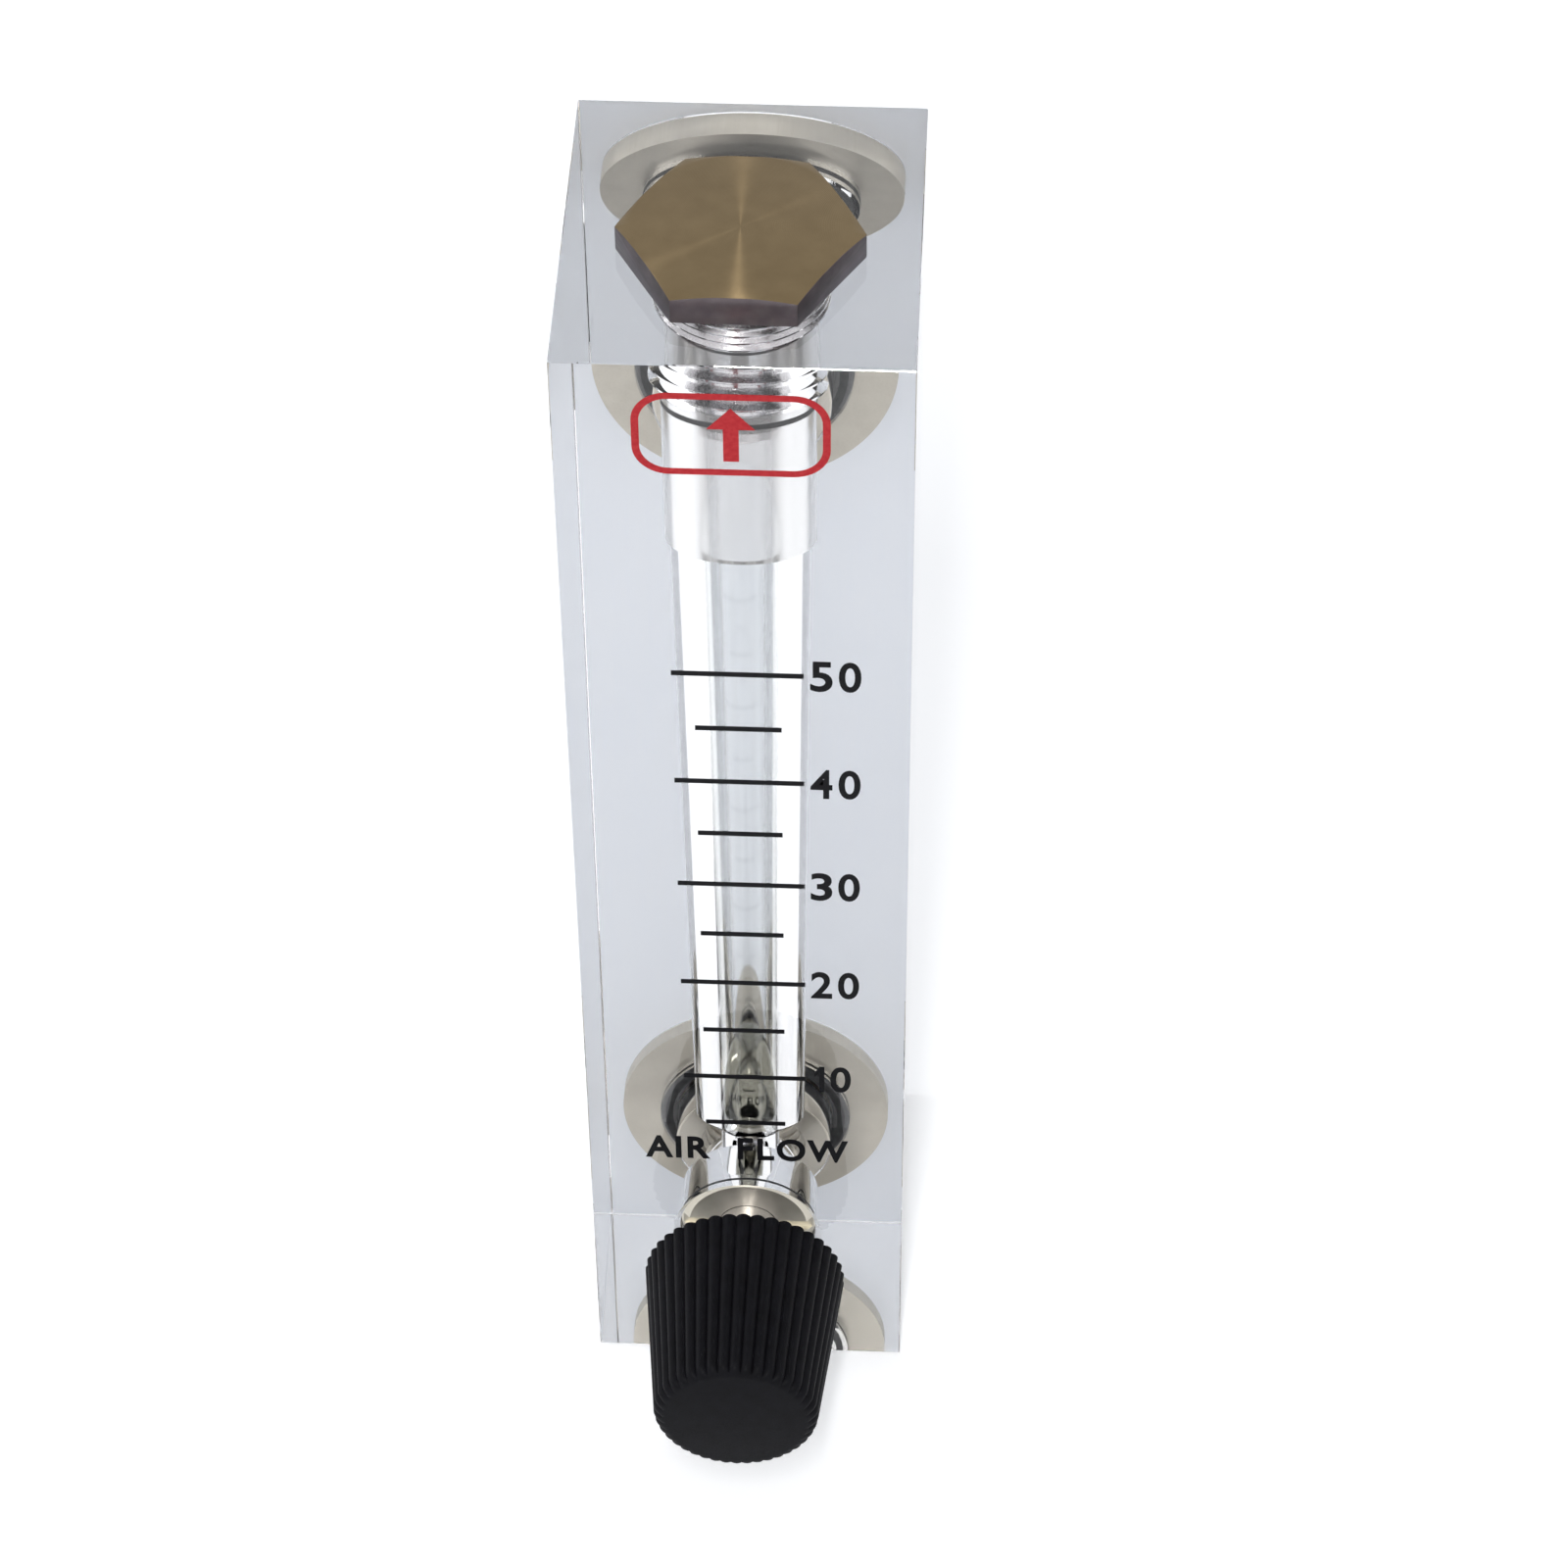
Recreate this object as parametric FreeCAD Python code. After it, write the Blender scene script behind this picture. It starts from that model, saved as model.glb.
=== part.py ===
"""Acrylic block flow meter with a front metering valve and two back ports.

Millimetres. The origin is the foot of the metering bore's axis on the bottom face.
+X is to the right of someone facing the scale, +Y runs from the scale to the ports, +Z is up.
"""
import FreeCAD, Part
import math
import os

V = FreeCAD.Vector

# ---- block ------------------------------------------------------------------
block_width = 25.4
block_depth = 28.575
block_height = 111.125
edge_break = 0.15            # chamfer on every outer edge
bore_to_front = 12.0         # bore axis behind the front face

# ---- ports ------------------------------------------------------------------
inlet_height = 15.875
outlet_below_top = 12.7      # outlet port's axis below the top face
flange_radius = 11.11
flange_thickness = 2.5
barrel_radius = 6.45
insert_web = 0.3             # acrylic left between the plug's hole and an insert's pocket
pipe_hole_radius = 4.37      # tapping-drill wall of the 1/8 in pipe thread
pipe_mouth_radius = 5.2      # chamfered mouth of the pipe thread
insert_ring_section = 1.5    # thickness of the sealing ring, in the corner under the flange
outlet_passage_radius = 2.8

# ---- metering bore and its ball ---------------------------------------------
ball_radius = 4.366
ball_clearance = 0.11        # ball to bore wall, at rest
bore_half_taper = 0.0118     # growth of the bore's radius per unit of height
seat_half_angle = 45.0       # of the conical seat, degrees
riser_radius = 2.4           # drilled passage from the valve up to the seat
riser_length = 2.3           # from the top of the valve's chamber to the foot of the seat

# ---- top plug ---------------------------------------------------------------
plug_thread_radius = 6.35    # 1/2 in thread, 20 to the inch, drawn plain at its major diameter
plug_thread_length = 7.9
plug_hole_radius = 5.56      # smooth hole below the thread
plug_hole_depth = 22.2
plug_land_radius = 5.4       # metal below the thread, on each side of the ring
plug_land_length = 2.5
plug_nose_radius = 4.3
plug_nose_length = 1.8
plug_nose_chamfer = 0.6
plug_ring_section = 1.5      # thickness of the sealing ring
plug_ring_place = 1.0        # ring centre below the end of the thread
plug_head_across_flats = 15.3
plug_head_height = 2.4
plug_head_turn = -0.7        # degrees that the tightened head stops away from square
plug_head_corner_break = 1.1  # how far the turned chamfer comes in from each corner
plug_head_chamfer_angle = 20.0
mouth_chamfer = 0.5          # lead-in at the mouth of each tapped hole

# ---- valve ------------------------------------------------------------------
valve_hole_radius = 5.556    # 7/16 in thread, drawn plain
valve_hole_depth = 9.4
bushing_recess = 0.8         # front of the bushing below the block's front face
bushing_thread_length = 3.0  # stretch that carries the stem's thread
bushing_bore_radius = 3.2    # smooth stretch that the stem's ring slides in
bushing_slot_width = 1.2
bushing_slot_depth = 0.5
bushing_ring_section = 1.2
bushing_ring_place = 2.2     # ring centre behind the block's front face
chamber_radius = 4.0
chamber_depth = 15.0         # front face to the orifice
orifice_radius = 2.0
stem_radius = 2.38
stem_groove_radius = 1.75
stem_ring_place = 2.4        # ring centre ahead of the bushing's inner end, at rest
needle_half_angle = 20.0
needle_tip_radius = 0.6
flat_depth = 0.7             # flat on the stem's end, which turns the knob
clip_radius = 3.65
clip_thickness = 0.6
clip_mouth = 2.6             # width of the clip's open side

thread_pitch = 25.4 / 32     # of the stem's thread
turns_from_closed = 2.0      # how far the valve is open at rest
turns_to_open = 2.0          # what is left from rest to the clip's stop

# ---- knob -------------------------------------------------------------------
knob_gap = 4.6               # back of the knob to the block's front face, at rest
knob_length = 14.8
knob_back_radius = 8.15
knob_front_radius = 6.65
knob_rounding = 1.1
knob_crown = 0.3             # rise of the front's middle
knob_crown_radius = 3.4      # of the flat middle
flute_count = 42
flute_half_width = 0.34
flute_depth = 0.42
knob_wall = 1.85
knob_hollow_depth = 6.0
knob_hollow_draft = 0.6      # narrowing of the hollow towards its floor
knob_boss_radius = 4.2
knob_socket_depth = 10.5

# ---- printed scale ----------------------------------------------------------
scale_first_height = 30.0    # lowest line
scale_step = 5.69
scale_line_count = 10
long_line_half = 4.85        # every second line, from the second up
short_line_half = 3.2
line_width = 0.48
ink_thickness = 0.05

# ---- fits -------------------------------------------------------------------
seat_fit = 0.03              # between metal pieces and their holes in the block
running_fit = 0.04           # between pieces that turn or slide in each other
ring_fit = 0.02              # around a sealing ring
ball_seat_gap = 0.04         # under the ball, square to the seat
stop_gap = 0.05              # left at each end of the valve's travel
overshoot = 1.0              # how far a cutting tool runs past the face it opens

# ---- places that follow -----------------------------------------------------
front_y = -bore_to_front
back_y = block_depth - bore_to_front
outlet_height = block_height - outlet_below_top
flange_y = back_y - flange_thickness
insert_floor_y = plug_thread_radius + seat_fit + insert_web
insert_front_y = insert_floor_y + seat_fit

seat_slope = math.tan(math.radians(seat_half_angle))
seat_foot_z = inlet_height + chamber_radius + riser_length
seat_apex = seat_foot_z - riser_radius / seat_slope
ball_height = seat_apex + (ball_radius + ball_seat_gap) / math.sin(math.radians(seat_half_angle))
seat_top_z = (ball_radius + ball_clearance - ball_height * bore_half_taper
              + seat_apex * seat_slope) / (seat_slope - bore_half_taper)
plug_hole_floor = block_height - plug_hole_depth
plug_thread_end = block_height - plug_thread_length
plug_ring_z = plug_thread_end - plug_ring_place
plug_land_end = plug_thread_end - plug_land_length
plug_nose_z = plug_land_end - plug_nose_length

bushing_front_y = front_y + bushing_recess
bushing_back_y = front_y + valve_hole_depth
orifice_y = front_y + chamber_depth
travel_in = turns_from_closed * thread_pitch
travel_out = turns_to_open * thread_pitch
stem_ring_y = bushing_back_y - stem_ring_place
clip_front_y = bushing_back_y + travel_out + stop_gap
bushing_ring_y = front_y + bushing_ring_place
insert_ring_y = flange_y - insert_ring_section / 2
needle_slope = math.tan(math.radians(needle_half_angle))
orifice_touch_y = orifice_y - travel_in - stop_gap   # where the needle is as wide as the orifice
needle_start_y = orifice_touch_y - (stem_radius - orifice_radius) / needle_slope
needle_tip_y = needle_start_y + (stem_radius - needle_tip_radius) / needle_slope
knob_back_y = front_y - knob_gap
knob_front_y = knob_back_y - knob_length
socket_end_y = knob_back_y - knob_socket_depth


def bore_radius(z):
    """Radius of the metering bore, which widens steadily with height."""
    return ball_radius + ball_clearance + (z - ball_height) * bore_half_taper


def turned(profile, base, axis):
    """Solid of revolution of a closed list of points."""
    wire = Part.makePolygon(profile + [profile[0]])
    return Part.Face(wire).revolve(base, axis, 360)


def upright(points):
    """Turned about the bore's axis, from (radius, height) pairs."""
    profile = [V(radius, 0, z) for radius, z in points]
    return turned(profile, V(0, 0, 0), V(0, 0, 1))


def along_port(points, height):
    """Turned about a front-to-back axis at a height, from (radius, y) pairs."""
    profile = [V(0, y, height + radius) for radius, y in points]
    return turned(profile, V(0, 0, height), V(0, 1, 0))


def drilled(radius, y_from, y_to, height):
    """Front-to-back cylinder, to cut or to add."""
    return Part.makeCylinder(radius, y_to - y_from, V(0, y_from, height), V(0, 1, 0))


def insert_pocket(height):
    """Room for a port insert and for the sealing ring in the corner under its flange."""
    ring_room = barrel_radius + insert_ring_section
    return along_port([(0, insert_floor_y),
                       (barrel_radius + seat_fit, insert_floor_y),
                       (barrel_radius + seat_fit, flange_y - insert_ring_section),
                       (ring_room, flange_y - insert_ring_section),
                       (ring_room, flange_y - seat_fit),
                       (flange_radius + seat_fit, flange_y - seat_fit),
                       (flange_radius + seat_fit, back_y + overshoot),
                       (0, back_y + overshoot)], height)


def metering_bore():
    """Riser, conical seat, tapered bore, smooth hole and tapped hole for the plug."""
    tapped = plug_thread_radius + seat_fit
    return upright([(0, inlet_height),
                    (riser_radius, inlet_height),
                    (riser_radius, seat_foot_z),
                    (bore_radius(seat_top_z), seat_top_z),
                    (bore_radius(plug_hole_floor), plug_hole_floor),
                    (plug_hole_radius, plug_hole_floor),
                    (plug_hole_radius, plug_thread_end - seat_fit),
                    (tapped, plug_thread_end - seat_fit),
                    (tapped, block_height - mouth_chamfer),
                    (tapped + mouth_chamfer, block_height),
                    (tapped + mouth_chamfer, block_height + overshoot),
                    (0, block_height + overshoot)])


def valve_cavity():
    """Threaded hole for the bushing, the chamber behind it and the orifice."""
    wall = valve_hole_radius + seat_fit
    return along_port([(0, front_y - overshoot),
                       (wall + mouth_chamfer, front_y - overshoot),
                       (wall + mouth_chamfer, front_y),
                       (wall, front_y + mouth_chamfer),
                       (wall, bushing_back_y),
                       (chamber_radius, bushing_back_y),
                       (chamber_radius, orifice_y),
                       (orifice_radius, orifice_y),
                       (orifice_radius, insert_floor_y + overshoot),
                       (0, insert_floor_y + overshoot)], inlet_height)


def body_block():
    corner = V(-block_width / 2, front_y, 0)
    block = Part.makeBox(block_width, block_depth, block_height, corner)
    block = block.makeChamfer(edge_break, block.Edges)
    outlet_passage = drilled(outlet_passage_radius, 0, insert_floor_y + overshoot, outlet_height)
    cavities = metering_bore().fuse([valve_cavity(), insert_pocket(inlet_height),
                                     insert_pocket(outlet_height), outlet_passage])
    return block.cut(cavities)


def port_insert(height):
    """Flanged metal insert, tapped right through for a pipe."""
    chamfer = pipe_mouth_radius - pipe_hole_radius
    return along_port([(pipe_hole_radius, insert_front_y),
                       (barrel_radius, insert_front_y),
                       (barrel_radius, flange_y),
                       (flange_radius, flange_y),
                       (flange_radius, back_y - edge_break),
                       (flange_radius - edge_break, back_y),
                       (pipe_mouth_radius, back_y),
                       (pipe_hole_radius, back_y - chamfer)], height)


def sealing_ring(outer_radius, section, centre, axis):
    """Squeezed ring: its eight-sided section just clears the walls of its groove."""
    across = section / 2 - ring_fit
    corner = across / math.cos(math.pi / 8)
    side = V(1, 0, 0)
    profile = []
    for i in range(8):
        angle = math.pi / 8 + i * math.pi / 4
        out = outer_radius - section / 2 + corner * math.cos(angle)
        profile.append(centre + side * out + axis * (corner * math.sin(angle)))
    return turned(profile, centre, axis)


def port_o_ring(height):
    """Round the root of an insert's barrel, squeezed between its flange and the block."""
    return sealing_ring(barrel_radius + insert_ring_section, insert_ring_section,
                        V(0, insert_ring_y, height), V(0, 1, 0))


def top_plug():
    """Hexagon head, threaded shank and a reduced nose that stops the ball."""
    corner_radius = plug_head_across_flats / 2 / math.cos(math.radians(30))
    corners = []
    for i in range(7):
        angle = math.radians(plug_head_turn + 60 * i)
        corners.append(V(corner_radius * math.cos(angle), corner_radius * math.sin(angle), block_height))
    head = Part.Face(Part.makePolygon(corners)).extrude(V(0, 0, plug_head_height))
    head_top = block_height + plug_head_height
    chamfer_start = corner_radius - plug_head_corner_break
    chamfer_drop = plug_head_corner_break * math.tan(math.radians(plug_head_chamfer_angle))
    outer = upright([(0, block_height),
                     (corner_radius, block_height),
                     (corner_radius, head_top - chamfer_drop),
                     (chamfer_start, head_top),
                     (0, head_top)])
    groove = plug_hole_radius - plug_ring_section
    groove_half = plug_ring_section / 2 + ring_fit
    shank = upright([(0, plug_nose_z),
                     (plug_nose_radius - plug_nose_chamfer, plug_nose_z),
                     (plug_nose_radius, plug_nose_z + plug_nose_chamfer),
                     (plug_nose_radius, plug_land_end),
                     (plug_land_radius, plug_land_end),
                     (plug_land_radius, plug_ring_z - groove_half),
                     (groove, plug_ring_z - groove_half),
                     (groove, plug_ring_z + groove_half),
                     (plug_land_radius, plug_ring_z + groove_half),
                     (plug_land_radius, plug_thread_end),
                     (plug_thread_radius, plug_thread_end),
                     (plug_thread_radius, block_height),
                     (0, block_height)])
    return head.common(outer).fuse(shank).removeSplitter()


def plug_o_ring():
    """In the groove below the plug's thread, against the smooth wall of its hole."""
    return sealing_ring(plug_hole_radius, plug_ring_section, V(0, 0, plug_ring_z), V(0, 0, 1))


def float_ball():
    return Part.makeSphere(ball_radius, V(0, 0, ball_height))


def valve_bushing():
    """Threaded bushing: it carries the stem's thread and, behind that, the bore for the stem's ring."""
    groove = valve_hole_radius + seat_fit - bushing_ring_section
    groove_half = bushing_ring_section / 2 + ring_fit
    step_y = bushing_front_y + bushing_thread_length
    body = along_port([(stem_radius + running_fit, bushing_front_y),
                       (valve_hole_radius - edge_break, bushing_front_y),
                       (valve_hole_radius, bushing_front_y + edge_break),
                       (valve_hole_radius, bushing_ring_y - groove_half),
                       (groove, bushing_ring_y - groove_half),
                       (groove, bushing_ring_y + groove_half),
                       (valve_hole_radius, bushing_ring_y + groove_half),
                       (valve_hole_radius, bushing_back_y),
                       (bushing_bore_radius, bushing_back_y),
                       (bushing_bore_radius, step_y),
                       (stem_radius + running_fit, step_y)], inlet_height)
    slot = Part.makeBox(2 * valve_hole_radius, bushing_slot_depth, bushing_slot_width,
                        V(-valve_hole_radius, bushing_front_y, inlet_height - bushing_slot_width / 2))
    return body.cut(slot)


def bushing_o_ring():
    return sealing_ring(valve_hole_radius + seat_fit, bushing_ring_section,
                        V(0, bushing_ring_y, inlet_height), V(0, 1, 0))


def valve_stem():
    """Needle, clip groove, ring groove, threaded stretch and the flatted end inside the knob."""
    ring_half = (bushing_bore_radius - stem_groove_radius) / 2 + ring_fit
    clip_room = running_fit
    body = along_port([(0, socket_end_y),
                       (stem_radius - edge_break, socket_end_y),
                       (stem_radius, socket_end_y + edge_break),
                       (stem_radius, stem_ring_y - ring_half),
                       (stem_groove_radius, stem_ring_y - ring_half),
                       (stem_groove_radius, stem_ring_y + ring_half),
                       (stem_radius, stem_ring_y + ring_half),
                       (stem_radius, clip_front_y - clip_room),
                       (stem_groove_radius, clip_front_y - clip_room),
                       (stem_groove_radius, clip_front_y + clip_thickness + clip_room),
                       (stem_radius, clip_front_y + clip_thickness + clip_room),
                       (stem_radius, needle_start_y),
                       (needle_tip_radius, needle_tip_y),
                       (0, needle_tip_y)], inlet_height)
    flat = Part.makeBox(2 * stem_radius, knob_back_y - socket_end_y, flat_depth,
                        V(-stem_radius, socket_end_y, inlet_height + stem_radius - flat_depth))
    return body.cut(flat)


def stem_o_ring():
    return sealing_ring(bushing_bore_radius, bushing_bore_radius - stem_groove_radius,
                        V(0, stem_ring_y, inlet_height), V(0, 1, 0))


def stem_clip():
    """Open retaining clip, sprung into its groove from below."""
    ring = along_port([(stem_groove_radius + running_fit, clip_front_y),
                       (clip_radius, clip_front_y),
                       (clip_radius, clip_front_y + clip_thickness),
                       (stem_groove_radius + running_fit, clip_front_y + clip_thickness)], inlet_height)
    mouth = Part.makeBox(clip_mouth, clip_thickness, 2 * clip_radius,
                         V(-clip_mouth / 2, clip_front_y, inlet_height - 2 * clip_radius))
    return ring.cut(mouth)


def knob_shell():
    """Tapered outside of the knob, with its rounded rim in two steps and a slightly raised front."""
    corner = knob_rounding * (1 - math.sin(math.pi / 4))
    return along_port([(0, knob_back_y),
                       (knob_back_radius, knob_back_y),
                       (knob_front_radius, knob_front_y + knob_crown + knob_rounding),
                       (knob_front_radius - corner, knob_front_y + knob_crown + corner),
                       (knob_front_radius - knob_rounding, knob_front_y + knob_crown),
                       (knob_crown_radius, knob_front_y),
                       (0, knob_front_y)], inlet_height)


def flute(angle):
    """Vee groove down the knob's tapered side: a three-sided bar, twice as tall as the groove is deep."""
    taper = (knob_back_radius - knob_front_radius) / (knob_length - knob_rounding - knob_crown)
    front_length = knob_length + overshoot
    ends = []
    for y, surface in ((knob_back_y + overshoot, knob_back_radius + taper * overshoot),
                       (knob_back_y - front_length, knob_back_radius - taper * front_length)):
        floor = inlet_height + surface - flute_depth
        top = floor + 2 * flute_depth
        half_width = 2 * flute_half_width
        ends.append(Part.makePolygon([V(0, y, floor), V(half_width, y, top),
                                      V(-half_width, y, top), V(0, y, floor)]))
    bar = Part.makeLoft(ends, True, True)
    bar.rotate(V(0, 0, inlet_height), V(0, 1, 0), angle)
    return bar


def control_knob():
    """Fluted moulded knob, cored out behind round a boss with a flatted socket."""
    flutes = [flute(360.0 * i / flute_count) for i in range(flute_count)]
    knob = knob_shell().cut(Part.makeCompound(flutes))
    hollow_radius = knob_back_radius - knob_wall
    hollow_end_y = knob_back_y - knob_hollow_depth
    hollow = along_port([(knob_boss_radius, knob_back_y + overshoot),
                         (hollow_radius, knob_back_y + overshoot),
                         (hollow_radius, knob_back_y),
                         (hollow_radius - knob_hollow_draft, hollow_end_y),
                         (knob_boss_radius, hollow_end_y)], inlet_height)
    socket = drilled(stem_radius + seat_fit, socket_end_y - seat_fit, knob_back_y + overshoot, inlet_height)
    flat = Part.makeBox(2 * knob_boss_radius, knob_length, knob_boss_radius,
                        V(-knob_boss_radius, knob_front_y, inlet_height + stem_radius - flat_depth + seat_fit))
    return knob.cut(hollow).cut(socket.cut(flat))


def scale_lines():
    """Lines of the printed scale, long and short by turns, on the front face."""
    lines = []
    for i in range(scale_line_count):
        half = long_line_half if i % 2 else short_line_half
        z = scale_first_height + i * scale_step - line_width / 2
        lines.append(Part.makeBox(2 * half, ink_thickness, line_width, V(-half, front_y - ink_thickness, z)))
    return Part.makeCompound(lines)


def write(node, shape):
    os.makedirs("parts", exist_ok=True)
    shape.exportStep("parts/" + node + ".step")
    print(node, len(shape.Solids), "solid", round(shape.Volume, 2), "mm3", "valid", shape.isValid())


write("body_block", body_block())
write("top_plug", top_plug())
write("plug_o_ring", plug_o_ring())
write("float_ball", float_ball())
write("inlet_insert", port_insert(inlet_height))
write("outlet_insert", port_insert(outlet_height))
write("inlet_o_ring", port_o_ring(inlet_height))
write("outlet_o_ring", port_o_ring(outlet_height))
write("valve_bushing", valve_bushing())
write("bushing_o_ring", bushing_o_ring())
write("valve_stem", valve_stem())
write("stem_o_ring", stem_o_ring())
write("stem_clip", stem_clip())
write("control_knob", control_knob())
write("scale_lines", scale_lines())
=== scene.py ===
"""Clear acrylic flow meter: block, plug, ball, valve and scale. Metres, in the part's frame."""
import math

import bmesh
import bpy
from mathutils import Matrix, Vector


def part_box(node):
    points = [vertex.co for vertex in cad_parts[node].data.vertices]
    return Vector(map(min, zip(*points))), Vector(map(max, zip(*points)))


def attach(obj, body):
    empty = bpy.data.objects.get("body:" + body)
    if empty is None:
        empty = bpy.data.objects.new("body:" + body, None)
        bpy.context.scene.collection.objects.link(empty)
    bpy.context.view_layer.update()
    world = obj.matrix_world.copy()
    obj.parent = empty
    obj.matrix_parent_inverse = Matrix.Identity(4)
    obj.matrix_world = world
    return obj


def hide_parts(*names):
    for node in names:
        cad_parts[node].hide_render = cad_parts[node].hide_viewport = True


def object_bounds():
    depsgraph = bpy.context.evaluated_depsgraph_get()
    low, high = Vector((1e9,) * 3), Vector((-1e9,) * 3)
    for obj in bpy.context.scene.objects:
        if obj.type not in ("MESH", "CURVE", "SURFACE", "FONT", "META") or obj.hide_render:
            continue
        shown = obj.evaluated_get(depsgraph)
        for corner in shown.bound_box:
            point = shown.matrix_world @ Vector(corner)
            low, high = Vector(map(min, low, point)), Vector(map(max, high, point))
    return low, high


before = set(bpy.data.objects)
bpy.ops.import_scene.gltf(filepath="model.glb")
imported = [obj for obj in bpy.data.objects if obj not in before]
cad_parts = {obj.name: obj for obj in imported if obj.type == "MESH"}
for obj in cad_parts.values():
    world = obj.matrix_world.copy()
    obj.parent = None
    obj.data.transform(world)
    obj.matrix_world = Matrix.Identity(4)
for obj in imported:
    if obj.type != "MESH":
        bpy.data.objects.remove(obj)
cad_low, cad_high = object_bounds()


# ---- Acrylic block ----------------------------------------------------------------------------
# One piece of clear cast acrylic, polished all round but for its milled back. It is bored from the
# top for the ball and the plug, from the front for the valve and from the back for the two ports.
# The tapered bore is honed, the smooth hole above it is reamed, and the top is tapped for the plug.

block_low, block_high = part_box("body_block")
inlet_height = sum(corner.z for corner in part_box("inlet_insert")) / 2
outlet_height = sum(corner.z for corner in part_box("outlet_insert")) / 2
polished_edge = 0.00007
round_steps = 192
past_face = 0.002
merge_distance = 1e-8
face_tolerance = 1e-6
acrylic_ior = 1.49

riser_radius = 0.0024
seat_foot_height = 0.022175
seat_top_height = 0.02423
bore_foot_radius = 0.004455
bore_top_radius = 0.005218
plug_hole_floor = 0.088925
plug_hole_radius = 0.00556
thread_end_height = 0.103225
tapped_bore_radius = 0.00566
tapped_root_radius = 0.00638
thread_pitch = 0.00127
mouth_chamfer = 0.0005

valve_hole_radius = 0.005586
valve_hole_end = -0.0026
chamber_radius = 0.0040
orifice_y = 0.0030
orifice_radius = 0.0020
insert_front_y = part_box("inlet_insert")[0].y
pocket_gap = 0.00003
bond = pocket_gap + 0.00001
barrel_radius = 0.00645
flange_radius = 0.01111
flange_y = 0.014075
insert_ring_section = 0.0015
outlet_passage_radius = 0.0028


def add_object(name, data):
    """A new object at the origin."""
    thing = bpy.data.objects.new(name, data)
    bpy.context.scene.collection.objects.link(thing)
    return thing


def built(name, bm):
    """A new object from a bmesh, which is freed."""
    mesh = bpy.data.meshes.new(name)
    bm.to_mesh(mesh)
    bm.free()
    return add_object(name, mesh)


def mend(bm):
    """Merges what lies in one place and points the faces outwards."""
    bmesh.ops.remove_doubles(bm, verts=bm.verts, dist=merge_distance)
    bmesh.ops.recalc_face_normals(bm, faces=bm.faces)


def mend_mesh(mesh):
    """The same for a finished mesh."""
    bm = bmesh.new()
    bm.from_mesh(mesh)
    mend(bm)
    bm.to_mesh(mesh)
    bm.free()


def box_mesh(size, centre):
    """A box of a given size about a centre, as a bmesh to be finished."""
    bm = bmesh.new()
    bmesh.ops.create_cube(bm, size=1.0)
    bmesh.ops.scale(bm, vec=size, verts=bm.verts)
    bmesh.ops.translate(bm, vec=centre, verts=bm.verts)
    return bm


def turned(name, profile, centre, axis, steps=round_steps):
    """Closed solid of revolution, from (radius, distance along the axis) pairs."""
    axis = Vector(axis)
    side = axis.orthogonal().normalized()
    bm = bmesh.new()
    loop = [bm.verts.new(Vector(centre) + side * radius + axis * along)
            for radius, along in profile]
    edges = [bm.edges.new(pair) for pair in zip(loop, loop[1:])]
    if profile[0][0] > 0:
        edges.append(bm.edges.new((loop[-1], loop[0])))
    bmesh.ops.spin(bm, geom=loop + edges, cent=centre, axis=axis, angle=2 * math.pi, steps=steps,
                   use_merge=True)
    mend(bm)
    return built(name, bm)


def shade(piece, angle):
    """Smooth shading that stays sharp along edges above an angle in degrees."""
    piece.data.shade_smooth()
    piece.data.set_sharp_from_angle(angle=math.radians(angle))


def dress(piece, *finishes):
    """Gives a piece its finishes, in the order of its faces' material numbers."""
    piece.data.materials.clear()
    for finish in finishes:
        piece.data.materials.append(finish)


def plain_mesh(thing):
    """The mesh of an object as it is shown, with its modifiers or its lettering worked out."""
    bpy.context.view_layer.update()
    shown = thing.evaluated_get(bpy.context.evaluated_depsgraph_get())
    return bpy.data.meshes.new_from_object(shown)


def evaluated(piece):
    """Turns the piece's modifiers into its plain mesh."""
    result = plain_mesh(piece)
    piece.modifiers.clear()
    piece.data = result
    result.name = piece.name
    return piece


def cut(piece, tools):
    """Cuts the tools from the piece and takes them away."""
    for tool in tools:
        step = piece.modifiers.new(tool.name, "BOOLEAN")
        step.operation = "DIFFERENCE"
        step.solver = "EXACT"
        step.object = tool
    evaluated(piece)
    for tool in tools:
        bpy.data.objects.remove(tool)


def node_group(name, kind, inputs, outputs):
    """A node group, with its inputs as (name, kind, default) and its outputs as (name, kind)."""
    tree = bpy.data.node_groups.new(name, kind)
    for label, sort, value in inputs:
        socket = tree.interface.new_socket(label, in_out="INPUT", socket_type="NodeSocket" + sort)
        if value is not None:
            socket.default_value = value
    for label, sort in outputs:
        tree.interface.new_socket(label, in_out="OUTPUT", socket_type="NodeSocket" + sort)
    return tree, tree.nodes.new("NodeGroupInput").outputs


def grown(tree, name, values, mesh=None):
    """The plain object that a geometry tree makes from its named inputs."""
    piece = add_object(name, mesh or bpy.data.meshes.new(name))
    step = piece.modifiers.new(name, "NODES")
    step.node_group = tree
    for socket in tree.interface.items_tree:
        if socket.in_out == "INPUT" and socket.name in values:
            step[socket.identifier] = values[socket.name]
    return evaluated(piece)


def maths(tree, operation, first, second=None):
    """A Math node in any tree; its operands are sockets or numbers."""
    node = tree.nodes.new("ShaderNodeMath")
    node.operation = operation
    for slot, operand in zip(node.inputs, (first, second)):
        if isinstance(operand, bpy.types.NodeSocket):
            tree.links.new(operand, slot)
        elif operand is not None:
            slot.default_value = operand
    return node.outputs[0]


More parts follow.
